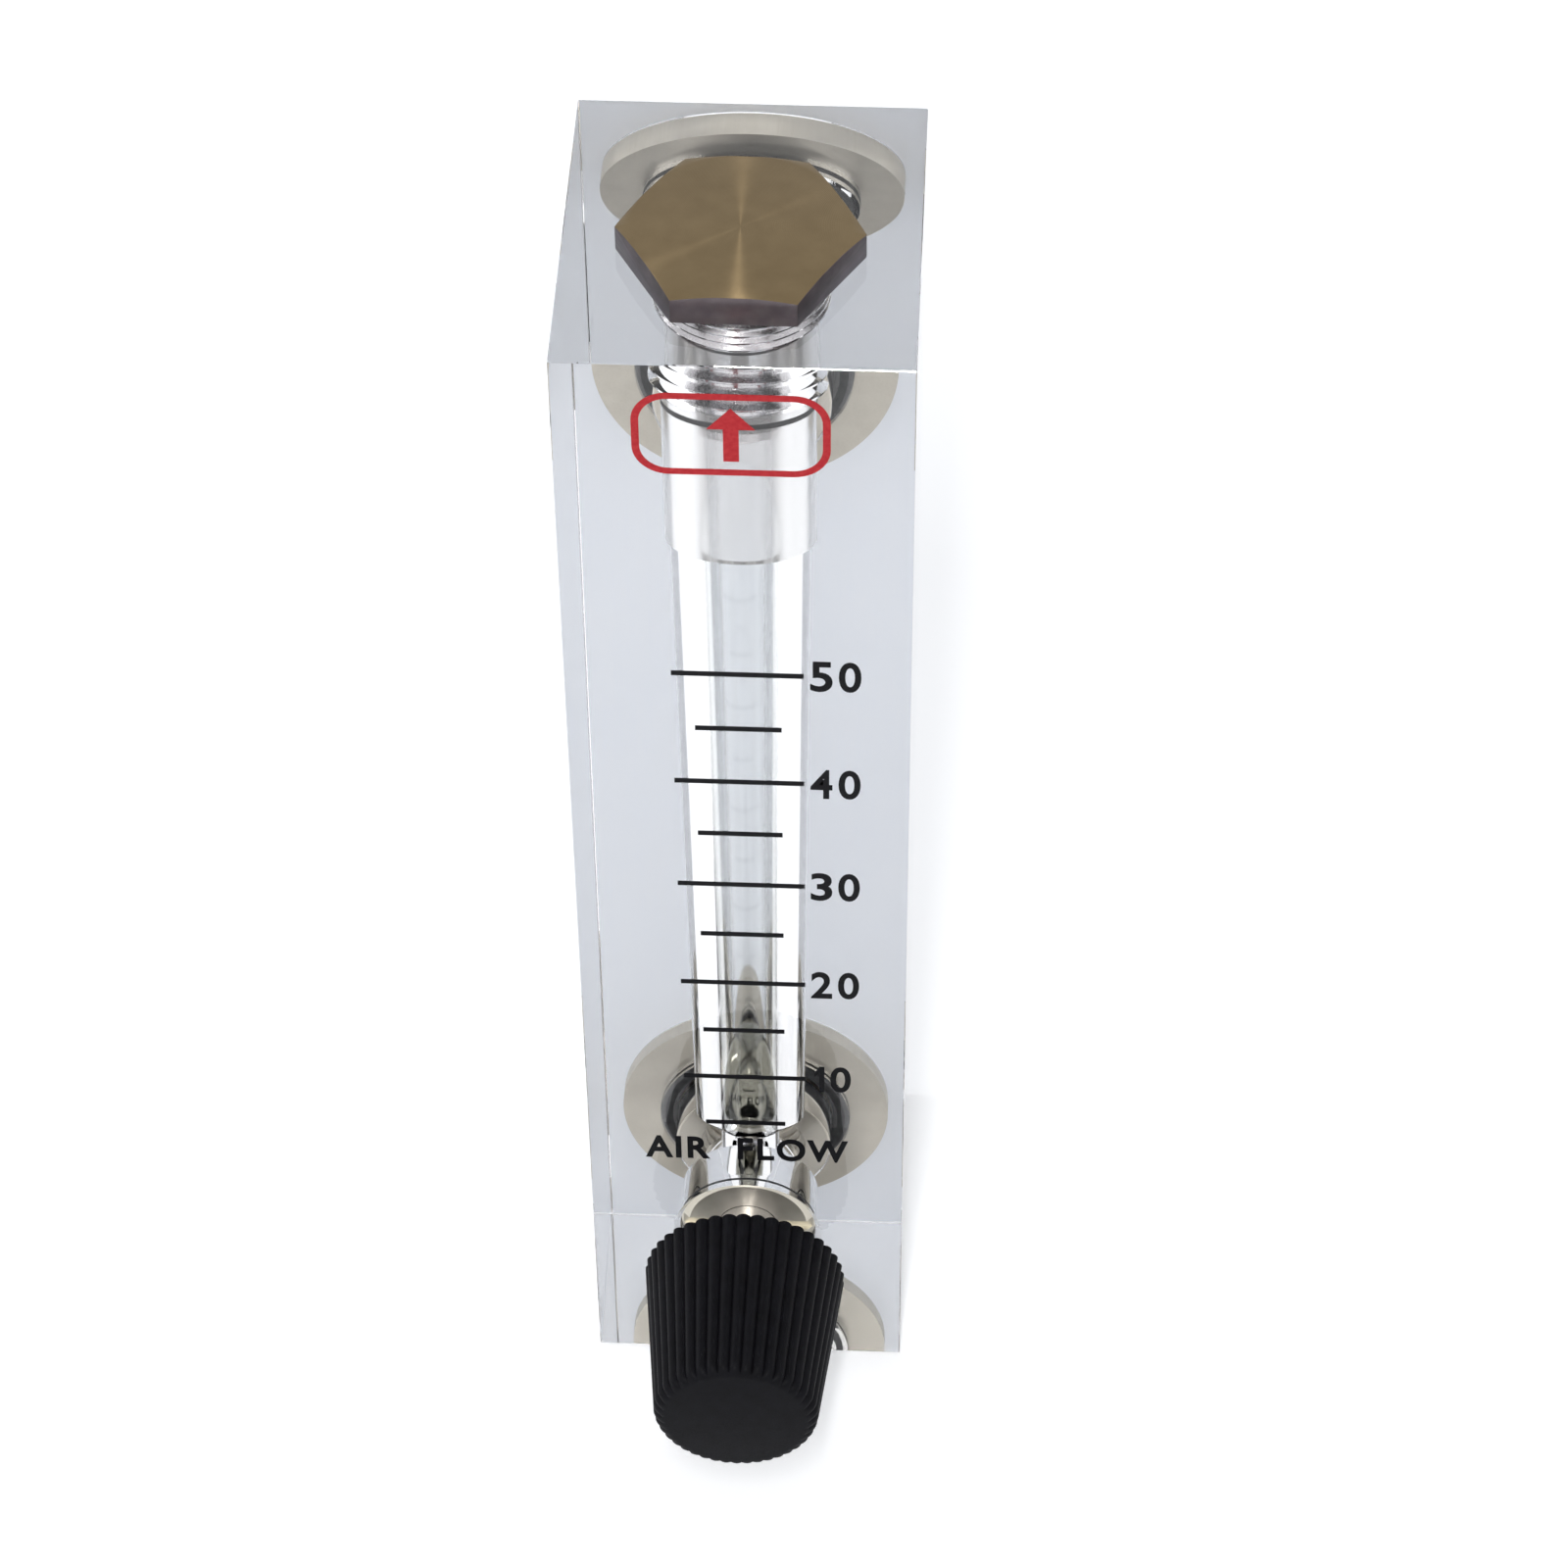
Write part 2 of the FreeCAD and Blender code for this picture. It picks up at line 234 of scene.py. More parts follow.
def end_tree(tree, geometry, material):
    """Ends a geometry tree in plain geometry of one material."""
    whole = tree.nodes.new("GeometryNodeRealizeInstances")
    tree.links.new(geometry, whole.inputs[0])
    finish = tree.nodes.new("GeometryNodeSetMaterial")
    tree.links.new(whole.outputs[0], finish.inputs["Geometry"])
    tree.links.new(material, finish.inputs["Material"])
    tree.links.new(finish.outputs[0], tree.nodes.new("NodeGroupOutput").inputs[0])


def thread_tree():
    """A screw thread as one ridge swept round a helix; a negative tooth height points inwards."""
    tree, given = node_group("screw thread", "GeometryNodeTree",
                             (("Root Radius", "Float", 0.005), ("Tooth Height", "Float", 0.0007),
                              ("Pitch", "Float", 0.001), ("Turns", "Float", 5.0),
                              ("Material", "Material", None)), (("Geometry", "Geometry"),))
    helix = tree.nodes.new("GeometryNodeCurveSpiral")
    helix.inputs["Resolution"].default_value = steps_per_turn
    for place in ("Start Radius", "End Radius"):
        tree.links.new(given["Root Radius"], helix.inputs[place])
    tree.links.new(given["Turns"], helix.inputs["Rotations"])
    tree.links.new(maths(tree, "MULTIPLY", given["Pitch"], given["Turns"]), helix.inputs["Height"])
    upright = tree.nodes.new("GeometryNodeSetCurveNormal")
    upright.mode = "Z_UP"
    tree.links.new(helix.outputs["Curve"], upright.inputs["Curve"])
    tooth = tree.nodes.new("GeometryNodeCurvePrimitiveQuadrilateral")
    tooth.mode = "POINTS"
    foot = maths(tree, "MULTIPLY", maths(tree, "SIGN", given["Tooth Height"]), tooth_sunk)
    # The profile's X points at the axis, so the crest lies on its negative side.
    crest = maths(tree, "MULTIPLY", given["Tooth Height"], -1.0)
    corners = ((foot, foot_share), (crest, crest_share), (crest, -crest_share), (foot, -foot_share))
    for number, (reach, share) in enumerate(corners, 1):
        place = tree.nodes.new("ShaderNodeCombineXYZ")
        tree.links.new(reach, place.inputs["X"])
        tree.links.new(maths(tree, "MULTIPLY", given["Pitch"], share), place.inputs["Y"])
        tree.links.new(place.outputs[0], tooth.inputs["Point " + str(number)])
    sweep = tree.nodes.new("GeometryNodeCurveToMesh")
    sweep.inputs["Fill Caps"].default_value = True
    tree.links.new(upright.outputs["Curve"], sweep.inputs["Curve"])
    tree.links.new(tooth.outputs["Curve"], sweep.inputs["Profile Curve"])
    end_tree(tree, sweep.outputs["Mesh"], given["Material"])
    return tree


steps_per_turn = 96
tooth_sunk = 0.00025
foot_share = 0.46
crest_share = 0.07
screw_thread = thread_tree()
turn_to_port = Matrix.Rotation(math.radians(-90), 4, "X")


def thread(name, root_radius, tooth_height, pitch, turns, place, material=None,
           turn=Matrix.Identity(4)):
    """A helical ridge that starts at place and climbs along +Z, or along the turned axis."""
    ridge = grown(screw_thread, name, {"Root Radius": root_radius, "Tooth Height": tooth_height,
                                       "Pitch": pitch, "Turns": turns, "Material": material})
    ridge.data.transform(Matrix.Translation(place) @ turn)
    mend_mesh(ridge.data)
    return ridge


def node(material, kind, **inputs):
    """A shader node with its plain input values."""
    made = material.node_tree.nodes.new(kind)
    for name, value in inputs.items():
        made.inputs[name.replace("_", " ")].default_value = value
    return made


def finish_named(name, **values):
    """A material whose shader holds the plain values, ready for what varies over the surface."""
    material = bpy.data.materials.new(name)
    material.use_nodes = True
    shader = material.node_tree.nodes["Principled BSDF"]
    for slot, value in values.items():
        shader.inputs[slot.replace("_", " ")].default_value = value
    return material, shader


def surface_group():
    """Fine unevenness that the finishes share: a mask of soft blotches and one of hairlines."""
    group, given = node_group("handled surface", "ShaderNodeTree",
                              (("Vector", "Vector", None), ("Blotch Scale", "Float", 300.0),
                               ("Hairline Scale", "Float", 4000.0),
                               ("Hairline Stretch", "Vector", (1.0, 1.0, 0.04))),
                              (("Blotches", "Float"), ("Hairlines", "Float")))
    put = group.nodes.new("NodeGroupOutput").inputs
    blotch = group.nodes.new("ShaderNodeTexNoise")
    blotch.inputs["Detail"].default_value = 3.0
    group.links.new(given["Vector"], blotch.inputs["Vector"])
    group.links.new(given["Blotch Scale"], blotch.inputs["Scale"])
    group.links.new(blotch.outputs["Fac"], put["Blotches"])
    stretch = group.nodes.new("ShaderNodeVectorMath")
    stretch.operation = "MULTIPLY"
    group.links.new(given["Vector"], stretch.inputs[0])
    group.links.new(given["Hairline Stretch"], stretch.inputs[1])
    hair = group.nodes.new("ShaderNodeTexNoise")
    group.links.new(stretch.outputs[0], hair.inputs["Vector"])
    group.links.new(given["Hairline Scale"], hair.inputs["Scale"])
    group.links.new(hair.outputs["Fac"], put["Hairlines"])
    return group


handled_surface = surface_group()
even = (1.0, 1.0, 1.0)


def handled(material, blotch_scale, hairline_scale, stretch=(1.0, 1.0, 0.04)):
    """The shared unevenness on the piece's own coordinates: (blotches, hairlines)."""
    coordinates = node(material, "ShaderNodeTexCoord")
    group = node(material, "ShaderNodeGroup")
    group.node_tree = handled_surface
    group.inputs["Blotch Scale"].default_value = blotch_scale
    group.inputs["Hairline Scale"].default_value = hairline_scale
    group.inputs["Hairline Stretch"].default_value = stretch
    material.node_tree.links.new(coordinates.outputs["Object"], group.inputs["Vector"])
    return group.outputs["Blotches"], group.outputs["Hairlines"]


def between(material, mask, low, high, from_low=0.3, from_high=0.7):
    """A number between two others, as the mask goes from one level to another."""
    ramp = node(material, "ShaderNodeMapRange", From_Min=from_low, From_Max=from_high,
                To_Min=low, To_Max=high)
    material.node_tree.links.new(mask, ramp.inputs["Value"])
    return ramp.outputs["Result"]


def tint(material, mask, dark, light):
    """A colour between two others, by a mask."""
    mix = node(material, "ShaderNodeMix")
    mix.data_type = "RGBA"
    mix.inputs["A"].default_value = dark + (1.0,)
    mix.inputs["B"].default_value = light + (1.0,)
    material.node_tree.links.new(between(material, mask, 0.0, 1.0), mix.inputs["Factor"])
    return mix.outputs["Result"]


def bumped(material, shader, height, strength, distance):
    """Relief on a shader's normal."""
    bump = node(material, "ShaderNodeBump", Strength=strength, Distance=distance)
    material.node_tree.links.new(height, bump.inputs["Height"])
    material.node_tree.links.new(bump.outputs["Normal"], shader.inputs["Normal"])


def varied(material, shader, masks, dark, light, smooth, rough):
    """Colour that goes by the first mask and roughness that goes by the second."""
    links = material.node_tree.links
    links.new(tint(material, masks[0], dark, light), shader.inputs["Base Color"])
    links.new(between(material, masks[1], smooth, rough), shader.inputs["Roughness"])


def roughened(material, shader, mask, smooth, rough, **levels):
    """Roughness that goes by one mask."""
    made = between(material, mask, smooth, rough, **levels)
    material.node_tree.links.new(made, shader.inputs["Roughness"])


clear_acrylic, shader = finish_named("clear acrylic", Base_Color=(0.985, 0.987, 0.992, 1.0),
                                     Metallic=0.0, IOR=acrylic_ior, Transmission_Weight=1.0)
blotches, hairlines = handled(clear_acrylic, 180.0, 900.0, (1.0, 1.0, 0.2))
roughened(clear_acrylic, shader, blotches, 0.0, 0.015, from_low=0.5, from_high=0.8)

milled_acrylic, shader = finish_named("milled acrylic", Base_Color=(0.885, 0.925, 1.0, 1.0),
                                      Metallic=0.0, Roughness=0.6, IOR=acrylic_ior,
                                      Transmission_Weight=0.45)
masks = handled(milled_acrylic, 150.0, 2500.0, (1.0, 1.0, 0.06))
varied(milled_acrylic, shader, masks, (0.875, 0.915, 0.99), (0.9, 0.935, 1.0), 0.5, 0.7)
bumped(milled_acrylic, shader, masks[1], 0.2, 0.00002)

honed_acrylic, shader = finish_named("honed acrylic", Base_Color=(0.97, 0.985, 0.978, 1.0),
                                     Metallic=0.0, Roughness=0.07, IOR=acrylic_ior,
                                     Transmission_Weight=1.0)
blotches, hairlines = handled(honed_acrylic, 260.0, 3000.0, (1.0, 1.0, 0.08))
roughened(honed_acrylic, shader, hairlines, 0.04, 0.11)

reamed_acrylic, shader = finish_named("reamed acrylic", Base_Color=(0.93, 0.92, 0.91, 1.0),
                                      Metallic=0.0, Roughness=0.18, IOR=acrylic_ior,
                                      Transmission_Weight=0.74)
blotches, hairlines = handled(reamed_acrylic, 260.0, 3000.0, (1.0, 1.0, 0.3))
roughened(reamed_acrylic, shader, blotches, 0.16, 0.2)

bm = box_mesh(block_high - block_low, (block_low + block_high) / 2)
bmesh.ops.bevel(bm, geom=bm.edges[:], offset=polished_edge, segments=1, affect="EDGES")
block = built("acrylic_block", bm)

upright = (0, 0, 1)
to_back = (0, 1, 0)
top = block_high.z
bore = turned("bore", [(0, inlet_height), (riser_radius, inlet_height),
                       (riser_radius, seat_foot_height), (bore_foot_radius, seat_top_height),
                       (bore_top_radius, plug_hole_floor), (plug_hole_radius, plug_hole_floor),
                       (plug_hole_radius, thread_end_height),
                       (tapped_bore_radius, thread_end_height),
                       (tapped_bore_radius, top - 2 * mouth_chamfer),
                       (tapped_root_radius + mouth_chamfer, top),
                       (tapped_root_radius + mouth_chamfer, top + past_face), (0, top + past_face)],
              (0, 0, 0), upright)
valve_bore = turned("valve_bore", [(0, block_low.y - past_face),
                                   (valve_hole_radius + mouth_chamfer, block_low.y - past_face),
                                   (valve_hole_radius + mouth_chamfer, block_low.y),
                                   (valve_hole_radius, block_low.y + mouth_chamfer),
                                   (valve_hole_radius, valve_hole_end),
                                   (chamber_radius, valve_hole_end),
                                   (chamber_radius, orifice_y), (orifice_radius, orifice_y),
                                   (orifice_radius, insert_front_y + past_face),
                                   (0, insert_front_y + past_face)],
                    (0, 0, inlet_height), to_back)
ports = (("inlet", inlet_height), ("outlet", outlet_height))
pocket = [(0, insert_front_y - pocket_gap),
          (barrel_radius + pocket_gap, insert_front_y - pocket_gap),
          (barrel_radius + pocket_gap, flange_y - insert_ring_section),
          (barrel_radius + insert_ring_section, flange_y - insert_ring_section),
          (barrel_radius + insert_ring_section, flange_y - pocket_gap),
          (flange_radius + pocket_gap, flange_y - pocket_gap),
          (flange_radius + pocket_gap, block_high.y + past_face), (0, block_high.y + past_face)]
pockets = [turned(port + "_pocket", pocket, (0, 0, height), to_back) for port, height in ports]
outlet_passage = turned("outlet_passage", [(0, 0), (outlet_passage_radius, 0),
                                           (outlet_passage_radius, insert_front_y + past_face),
                                           (0, insert_front_y + past_face)],
                        (0, 0, outlet_height), to_back)
tap_start = thread_end_height + thread_pitch / 2
tap_turns = (top + past_face - tap_start) / thread_pitch
tap = thread("tap", tapped_bore_radius, tapped_root_radius - tapped_bore_radius, thread_pitch,
             tap_turns, Vector((0, 0, tap_start)))
cut(block, [bore, valve_bore] + pockets + [outlet_passage, tap])
dress(block, clear_acrylic, milled_acrylic, honed_acrylic, reamed_acrylic)
for face in block.data.polygons:
    in_bore = face.center.xy.length < plug_hole_radius
    if face.center.y > block_high.y - face_tolerance:
        face.material_index = 1
    elif in_bore and seat_foot_height < face.center.z < thread_end_height:
        face.material_index = 2 if face.center.z < plug_hole_floor else 3
shade(block, 25)
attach(block, "meter_body")
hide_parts("body_block")


# ---- Top plug ---------------------------------------------------------------------------------
# A stainless plug, turned from hexagon bar: the head is faced off in fine rings and chamfered, and
# the shank is threaded. Below the thread a land carries the seal, and a nose stops the ball.

head_across_flats = 0.0153
head_height = 0.0024
head_turn = math.radians(-0.7)
head_corner_break = 0.0011
head_chamfer_rise = math.tan(math.radians(20))
plug_root_radius = 0.00559
plug_crest_radius = 0.00635
land_radius = 0.0054
land_length = 0.0025
nose_radius = 0.0043
nose_length = 0.0018
nose_chamfer = 0.0006
plug_ring_section = 0.0015
plug_ring_drop = 0.0010
plug_ring_height = thread_end_height - plug_ring_drop
groove_play = 0.00002
edge_round = 0.00006
thread_runout = 0.45

# The head's top is coloured olive-brown. This is a painted reflection of a dim brown room, not a
# colour that stainless steel has of its own.
turned_top_painted_reflection, shader = finish_named("turned steel face, painted brown reflection", Base_Color=(0.215, 0.165, 0.094, 1.0),
                                  Metallic=1.0, Roughness=0.3, Anisotropic=1.0,
                                  Anisotropic_Rotation=0.25)
links = turned_top_painted_reflection.node_tree.links
coordinates = node(turned_top_painted_reflection, "ShaderNodeTexCoord")
axis_of_turning = node(turned_top_painted_reflection, "ShaderNodeTangent")
axis_of_turning.direction_type = "RADIAL"
axis_of_turning.axis = "Z"
links.new(axis_of_turning.outputs["Tangent"], shader.inputs["Tangent"])
rings = node(turned_top_painted_reflection, "ShaderNodeTexWave", Scale=2600.0, Distortion=0.6, Detail=2.0)
rings.wave_type = "RINGS"
rings.rings_direction = "Z"
links.new(coordinates.outputs["Object"], rings.inputs["Vector"])
bumped(turned_top_painted_reflection, shader, rings.outputs["Fac"], 0.25, 0.00002)
blotches, hairlines = handled(turned_top_painted_reflection, 500.0, 6000.0)
links.new(tint(turned_top_painted_reflection, blotches, (0.18, 0.132, 0.072), (0.205, 0.152, 0.084)),
          shader.inputs["Base Color"])

# The head's flats are coloured mauve-grey. This is a painted reflection of the floor in front of
# them, not the steel's own colour.
milled_flat_painted_reflection, shader = finish_named("milled steel flat, painted mauve reflection", Base_Color=(0.15, 0.125, 0.135, 1.0),
                                   Metallic=1.0, Roughness=0.3)
masks = handled(milled_flat_painted_reflection, 700.0, 5000.0, (0.05, 0.05, 1.0))
varied(milled_flat_painted_reflection, shader, masks, (0.13, 0.11, 0.117), (0.18, 0.152, 0.16), 0.28, 0.38)
bumped(milled_flat_painted_reflection, shader, masks[1], 0.08, 0.00001)

bright_thread, shader = finish_named("bright turned steel", Base_Color=(0.62, 0.6, 0.61, 1.0),
                                     Metallic=1.0, Roughness=0.2)
masks = handled(bright_thread, 900.0, 7000.0)
varied(bright_thread, shader, masks, (0.5, 0.485, 0.495), (0.68, 0.66, 0.67), 0.14, 0.3)

head_top = top + head_height
corner_radius = head_across_flats / 2 / math.cos(math.radians(30))
chamfer_start = corner_radius - head_corner_break
bm = bmesh.new()
turns = [head_turn + math.radians(60 * i) for i in range(6)]
rim = [bm.verts.new((corner_radius * math.cos(turn), corner_radius * math.sin(turn), top))
       for turn in turns]
bar_end = bm.faces.new(rim)
raised = bmesh.ops.extrude_face_region(bm, geom=[bar_end])["geom"]
bmesh.ops.translate(bm, vec=(0, 0, head_height),
                    verts=[v for v in raised if isinstance(v, bmesh.types.BMVert)])
bmesh.ops.recalc_face_normals(bm, faces=bm.faces)
head = built("plug_head", bm)
tool_radius = 2 * corner_radius
tool_rise = head_corner_break * head_chamfer_rise
tool_edge = head_top - (tool_radius - chamfer_start) * head_chamfer_rise
chamfer_tool = turned("chamfer_tool", [(chamfer_start - head_corner_break, head_top + tool_rise),
                                       (tool_radius, tool_edge),
                                       (tool_radius, head_top + tool_rise)], (0, 0, 0), upright)
cut(head, [chamfer_tool])
rounding = head.modifiers.new("edges", "BEVEL")
rounding.width = edge_round
rounding.segments = 2
rounding.limit_method = "ANGLE"
rounding.angle_limit = math.radians(25)
evaluated(head)
dress(head, turned_top_painted_reflection, milled_flat_painted_reflection)
# Faces that look up take the painted brown reflection, and the flats take the painted mauve
# reflection.
for face in head.data.polygons:
    face.material_index = 0 if face.normal.z > 0.5 else 1

ring_floor = plug_hole_radius - plug_ring_section
ring_half = plug_ring_section / 2 + groove_play
land_end = thread_end_height - land_length
nose_end = land_end - nose_length
shank = turned("plug_shank", [(0, nose_end), (nose_radius - nose_chamfer, nose_end),
                              (nose_radius, nose_end + nose_chamfer), (nose_radius, land_end),
                              (land_radius, land_end), (land_radius, plug_ring_height - ring_half),
                              (ring_floor, plug_ring_height - ring_half),
                              (ring_floor, plug_ring_height + ring_half),
                              (land_radius, plug_ring_height + ring_half),
                              (land_radius, thread_end_height),
                              (plug_root_radius, thread_end_height), (plug_root_radius, top),
                              (0, top)], (0, 0, 0), upright)
dress(shank, bright_thread)
ridge = thread("plug_thread", plug_root_radius, plug_crest_radius - plug_root_radius, thread_pitch,
               (top - tap_start) / thread_pitch - thread_runout, Vector((0, 0, tap_start)),
               bright_thread)


def join(name, pieces):
    """One object from several, each with its own materials kept."""
    whole = bmesh.new()
    mesh = bpy.data.meshes.new(name)
    slots = []
    for piece in pieces:
        shift = len(slots)
        slots.extend(piece.data.materials)
        before = len(whole.faces)
        whole.from_mesh(piece.data)
        whole.faces.ensure_lookup_table()
        for face in whole.faces[before:]:
            face.material_index += shift
        bpy.data.objects.remove(piece)
    whole.to_mesh(mesh)
    whole.free()
    for slot in slots:
        mesh.materials.append(slot)
    return add_object(name, mesh)


plug = join("threaded_plug", [head, shank, ridge])
shade(plug, 28)
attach(plug, "meter_body")
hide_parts("top_plug")


# ---- Sealing rings ----------------------------------------------------------------------------
# Moulded black rubber rings, squeezed flat between the acrylic wall and the metal that they seal:
# in a groove on the plug and the bushing, and in the corner under the flange on the two inserts.
# Each one bears on the clear wall a little, so it shows through it as a thin black line.

bearing = 0.00003
insert_ring_y = flange_y - bond - insert_ring_section / 2
bushing_ring_section = 0.0012
bushing_ring_depth = 0.0022
bushing_ring_y = block_low.y + bushing_ring_depth
ring_sides = 24
pressed_side_curve = 0.75
free_side_curve = 0.9

ring_rubber, shader = finish_named("black seal rubber", Base_Color=(0.02, 0.02, 0.021, 1.0),
                                   Roughness=0.5)
masks = handled(ring_rubber, 1500.0, 5000.0, even)
varied(ring_rubber, shader, masks, (0.014, 0.014, 0.015), (0.034, 0.034, 0.036), 0.4, 0.65)
bumped(ring_rubber, shader, masks[1], 0.3, 0.00002)


def squeezed_ring(name, wall_radius, section, centre, axis, stands_for):
    """A ring between its groove and the wall at wall_radius, rounder at its free sides."""
    half = section / 2
    profile = []
    for i in range(ring_sides):
        angle = 2 * math.pi * i / ring_sides
        out = math.copysign(abs(math.cos(angle)) ** pressed_side_curve, math.cos(angle))
        along = math.copysign(abs(math.sin(angle)) ** free_side_curve, math.sin(angle))
        profile.append((wall_radius + bearing - half + half * out, half * along))
    ring = turned(name, profile, centre, axis)
    dress(ring, ring_rubber)
    shade(ring, 60)
    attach(ring, "meter_body")
    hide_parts(stands_for)


squeezed_ring("plug_seal", plug_hole_radius, plug_ring_section, (0, 0, plug_ring_height), upright,
              "plug_o_ring")
squeezed_ring("bushing_seal", valve_hole_radius, bushing_ring_section,
              (0, bushing_ring_y, inlet_height), to_back, "bushing_o_ring")
for port, height in ports:
    squeezed_ring(port + "_seal", barrel_radius + insert_ring_section, insert_ring_section,
                  (0, insert_ring_y, height), to_back, port + "_o_ring")
for cad_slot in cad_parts["stem_o_ring"].material_slots:
    cad_slot.material = ring_rubber


# ---- Float ------------------------------------------------------------------------------------
# A lapped steel ball, loose in the block. It rests on the conical seat at the foot of the tapered
# bore and rides up it on the flow, as far as the plug's nose.

ball_low, ball_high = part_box("float_ball")
ball_radius = (ball_high.z - ball_low.z) / 2
ball_cuts = 47

# The ball's dark olive colour is a painted reflection of the dark things round it in the block. It
# is darker than lapped steel is.
ball_steel_painted_dark, shader = finish_named("lapped steel", Base_Color=(0.24, 0.23, 0.19, 1.0), Metallic=1.0,
                                  Roughness=0.08)
blotches, hairlines = handled(ball_steel_painted_dark, 600.0, 3000.0, even)
varied(ball_steel_painted_dark, shader, (hairlines, blotches), (0.22, 0.21, 0.17), (0.27, 0.26, 0.22),
       0.04, 0.12)

bm = bmesh.new()
bmesh.ops.create_cube(bm, size=2.0)
bmesh.ops.subdivide_edges(bm, edges=bm.edges, cuts=ball_cuts, use_grid_fill=True)
for corner in bm.verts:
    eased = Vector([math.tan(part * math.pi / 4) for part in corner.co])
    corner.co = (ball_low + ball_high) / 2 + eased.normalized() * ball_radius
ball = built("float_ball_lapped", bm)
dress(ball, ball_steel_painted_dark)
ball.data.shade_smooth()
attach(ball, "float")
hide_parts("float_ball")


# ---- Port inserts -----------------------------------------------------------------------------
# Nickel-plated turned inserts, each tapped for a tapered pipe. The flange is bonded into its
# recess, flush with the back of the block. Its sealing ring lies in front of it, round the barrel.

pipe_hole_radius = 0.00437
pipe_mouth_radius = 0.0052
pipe_pitch = 0.0254 / 27
pipe_tooth = 0.00068
edge_break = 0.00015

plated, shader = finish_named("plated turned metal", Base_Color=(0.62, 0.57, 0.49, 1.0),
                              Metallic=1.0, Roughness=0.42)
masks = handled(plated, 420.0, 5000.0, (1.0, 0.03, 1.0))
varied(plated, shader, masks, (0.6, 0.56, 0.485), (0.65, 0.61, 0.53), 0.36, 0.52)

mouth_depth = pipe_mouth_radius - pipe_hole_radius
insert_profile = [(pipe_hole_radius, insert_front_y), (barrel_radius - edge_break, insert_front_y),
                  (barrel_radius, insert_front_y + edge_break), (barrel_radius, flange_y - bond),
                  (flange_radius + bond, flange_y - bond),
                  (flange_radius + bond, block_high.y - edge_break),
                  (flange_radius - edge_break, block_high.y), (pipe_mouth_radius, block_high.y),
                  (pipe_hole_radius, block_high.y - mouth_depth)]
for port, height in ports:
    insert_body = turned(port + "_body", insert_profile, (0, 0, height), to_back)
    dress(insert_body, plated)
    inner = thread(port + "_thread", pipe_hole_radius, -pipe_tooth / 2, pipe_pitch,
                   (block_high.y - mouth_depth - insert_front_y) / pipe_pitch - 1,
                   Vector((0, insert_front_y + pipe_pitch / 2, height)), plated, turn_to_port)
    insert = join(port + "_insert_turned", [insert_body, inner])
    shade(insert, 28)
    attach(insert, "meter_body")
    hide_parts(port + "_insert")


# ---- Valve bushing ----------------------------------------------------------------------------
# A turned bushing screwed into the front of the block. Its slot takes the driver that fits it, and
# the stem's thread runs in its front half.

bushing_low, bushing_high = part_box("valve_bushing")
bushing_radius = bushing_high.x
bushing_bore_radius = 0.0032
stem_radius = 0.00238
running_gap = 0.00004
bushing_thread_length = 0.0030
bushing_edge = 0.0007
slot_width = 0.0012
slot_depth = 0.0005

bushing_metal, shader = finish_named("turned bushing metal", Base_Color=(0.5, 0.45, 0.36, 1.0),
                                     Metallic=1.0, Roughness=0.28)
links = bushing_metal.node_tree.links
blotches, hairlines = handled(bushing_metal, 600.0, 6000.0, (1.0, 0.04, 1.0))
varied(bushing_metal, shader, (blotches, blotches), (0.68, 0.64, 0.54), (0.78, 0.74, 0.64),
       0.38, 0.46)
coordinates = node(bushing_metal, "ShaderNodeTexCoord")
centred = node(bushing_metal, "ShaderNodeMapping", Location=(0, 0, -inlet_height))
links.new(coordinates.outputs["Object"], centred.inputs["Vector"])
rings = node(bushing_metal, "ShaderNodeTexWave", Scale=2200.0, Distortion=0.4, Detail=1.0)
rings.wave_type = "RINGS"
rings.rings_direction = "Y"
links.new(centred.outputs["Vector"], rings.inputs["Vector"])
bumped(bushing_metal, shader, rings.outputs["Fac"], 0.2, 0.00001)

groove = valve_hole_radius - bushing_ring_section
groove_half = bushing_ring_section / 2 + groove_play
step_y = bushing_low.y + bushing_thread_length
bushing = turned("bushing_turned", [(stem_radius + running_gap, bushing_low.y),
                                    (bushing_radius - bushing_edge, bushing_low.y),
                                    (bushing_radius, bushing_low.y + bushing_edge),
                                    (bushing_radius, bushing_ring_y - groove_half),
                                    (groove, bushing_ring_y - groove_half),
                                    (groove, bushing_ring_y + groove_half),
                                    (bushing_radius, bushing_ring_y + groove_half),
                                    (bushing_radius, bushing_high.y),
                                    (bushing_bore_radius, bushing_high.y),
                                    (bushing_bore_radius, step_y),
                                    (stem_radius + running_gap, step_y)],
                 (0, 0, inlet_height), to_back)
driver_slot = box_mesh((4 * bushing_radius, 2 * slot_depth, slot_width),
                       (0, bushing_low.y, inlet_height))
cut(bushing, [built("driver_slot", driver_slot)])
dress(bushing, bushing_metal)
shade(bushing, 28)
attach(bushing, "meter_body")
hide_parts("valve_bushing")


# ---- Valve stem and clip ----------------------------------------------------------------------
# The needle that meters the flow, turned in one piece with its thread, its two grooves and the
# flatted end in the knob. A sprung clip behind the bushing keeps it from being wound out.

for node_name in ("valve_stem", "stem_clip"):
    for cad_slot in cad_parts[node_name].material_slots:
        cad_slot.material = bright_thread


# ---- Knob -------------------------------------------------------------------------------------
# A moulded black plastic knob, tapered to the front, with fine rounded ridges for the fingers and a
# plain satin end. It is cored out behind round the boss that grips the stem.

knob_low, knob_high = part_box("control_knob")
knob_back_radius = 0.00815
knob_front_radius = 0.00665
knob_rounding = 0.0011
knob_crown = 0.0003
ridge_count = 42
ridge_depth = 0.00034
ridge_roundness = 0.8
steps_per_ridge = 12
knob_wall = 0.00185
hollow_depth = 0.0060
hollow_draft = 0.0006
boss_radius = 0.0042
socket_depth = 0.0105

